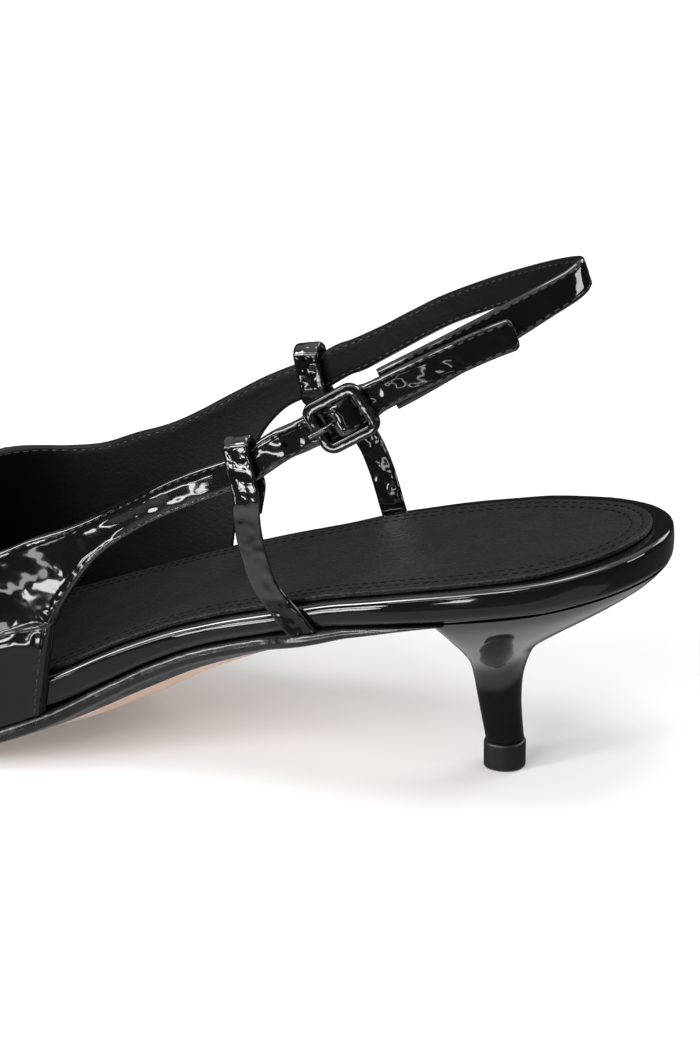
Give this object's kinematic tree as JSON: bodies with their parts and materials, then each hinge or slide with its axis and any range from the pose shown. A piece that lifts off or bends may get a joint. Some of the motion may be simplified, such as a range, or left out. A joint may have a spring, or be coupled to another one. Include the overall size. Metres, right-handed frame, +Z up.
{
  "type": "slingback pump",
  "caption": "Left slingback pump with a pointed toe, kitten heel, open sides, folded keepers and a buckled strap round the heel.",
  "frame": {"origin": "centre of the heel tip's face on the floor", "axes": "+X towards the toe, +Y to the outer side of the foot with the buckle, +Z up"},
  "size_m": [0.2552, 0.0807, 0.1199],
  "materials": {
    "patent": "high gloss black patent",
    "sock": "matte black with fine grain",
    "sole": "smooth beige underside with a black edge",
    "tip": "satin black",
    "metal": "glossy black enamel"
  },
  "bodies": {
    "root": {"outsole": "sole", "footbed": "patent", "insole_sock": "sock", "upper": "patent", "heel": "patent", "top_piece": "tip", "sling_strap": "patent", "front_strap": "patent", "buckle": "metal", "buckle_prong": "metal", "buckle_tab": "patent", "keeper_outer": "patent", "keeper_inner": "patent"}
  },
  "joints": []
}
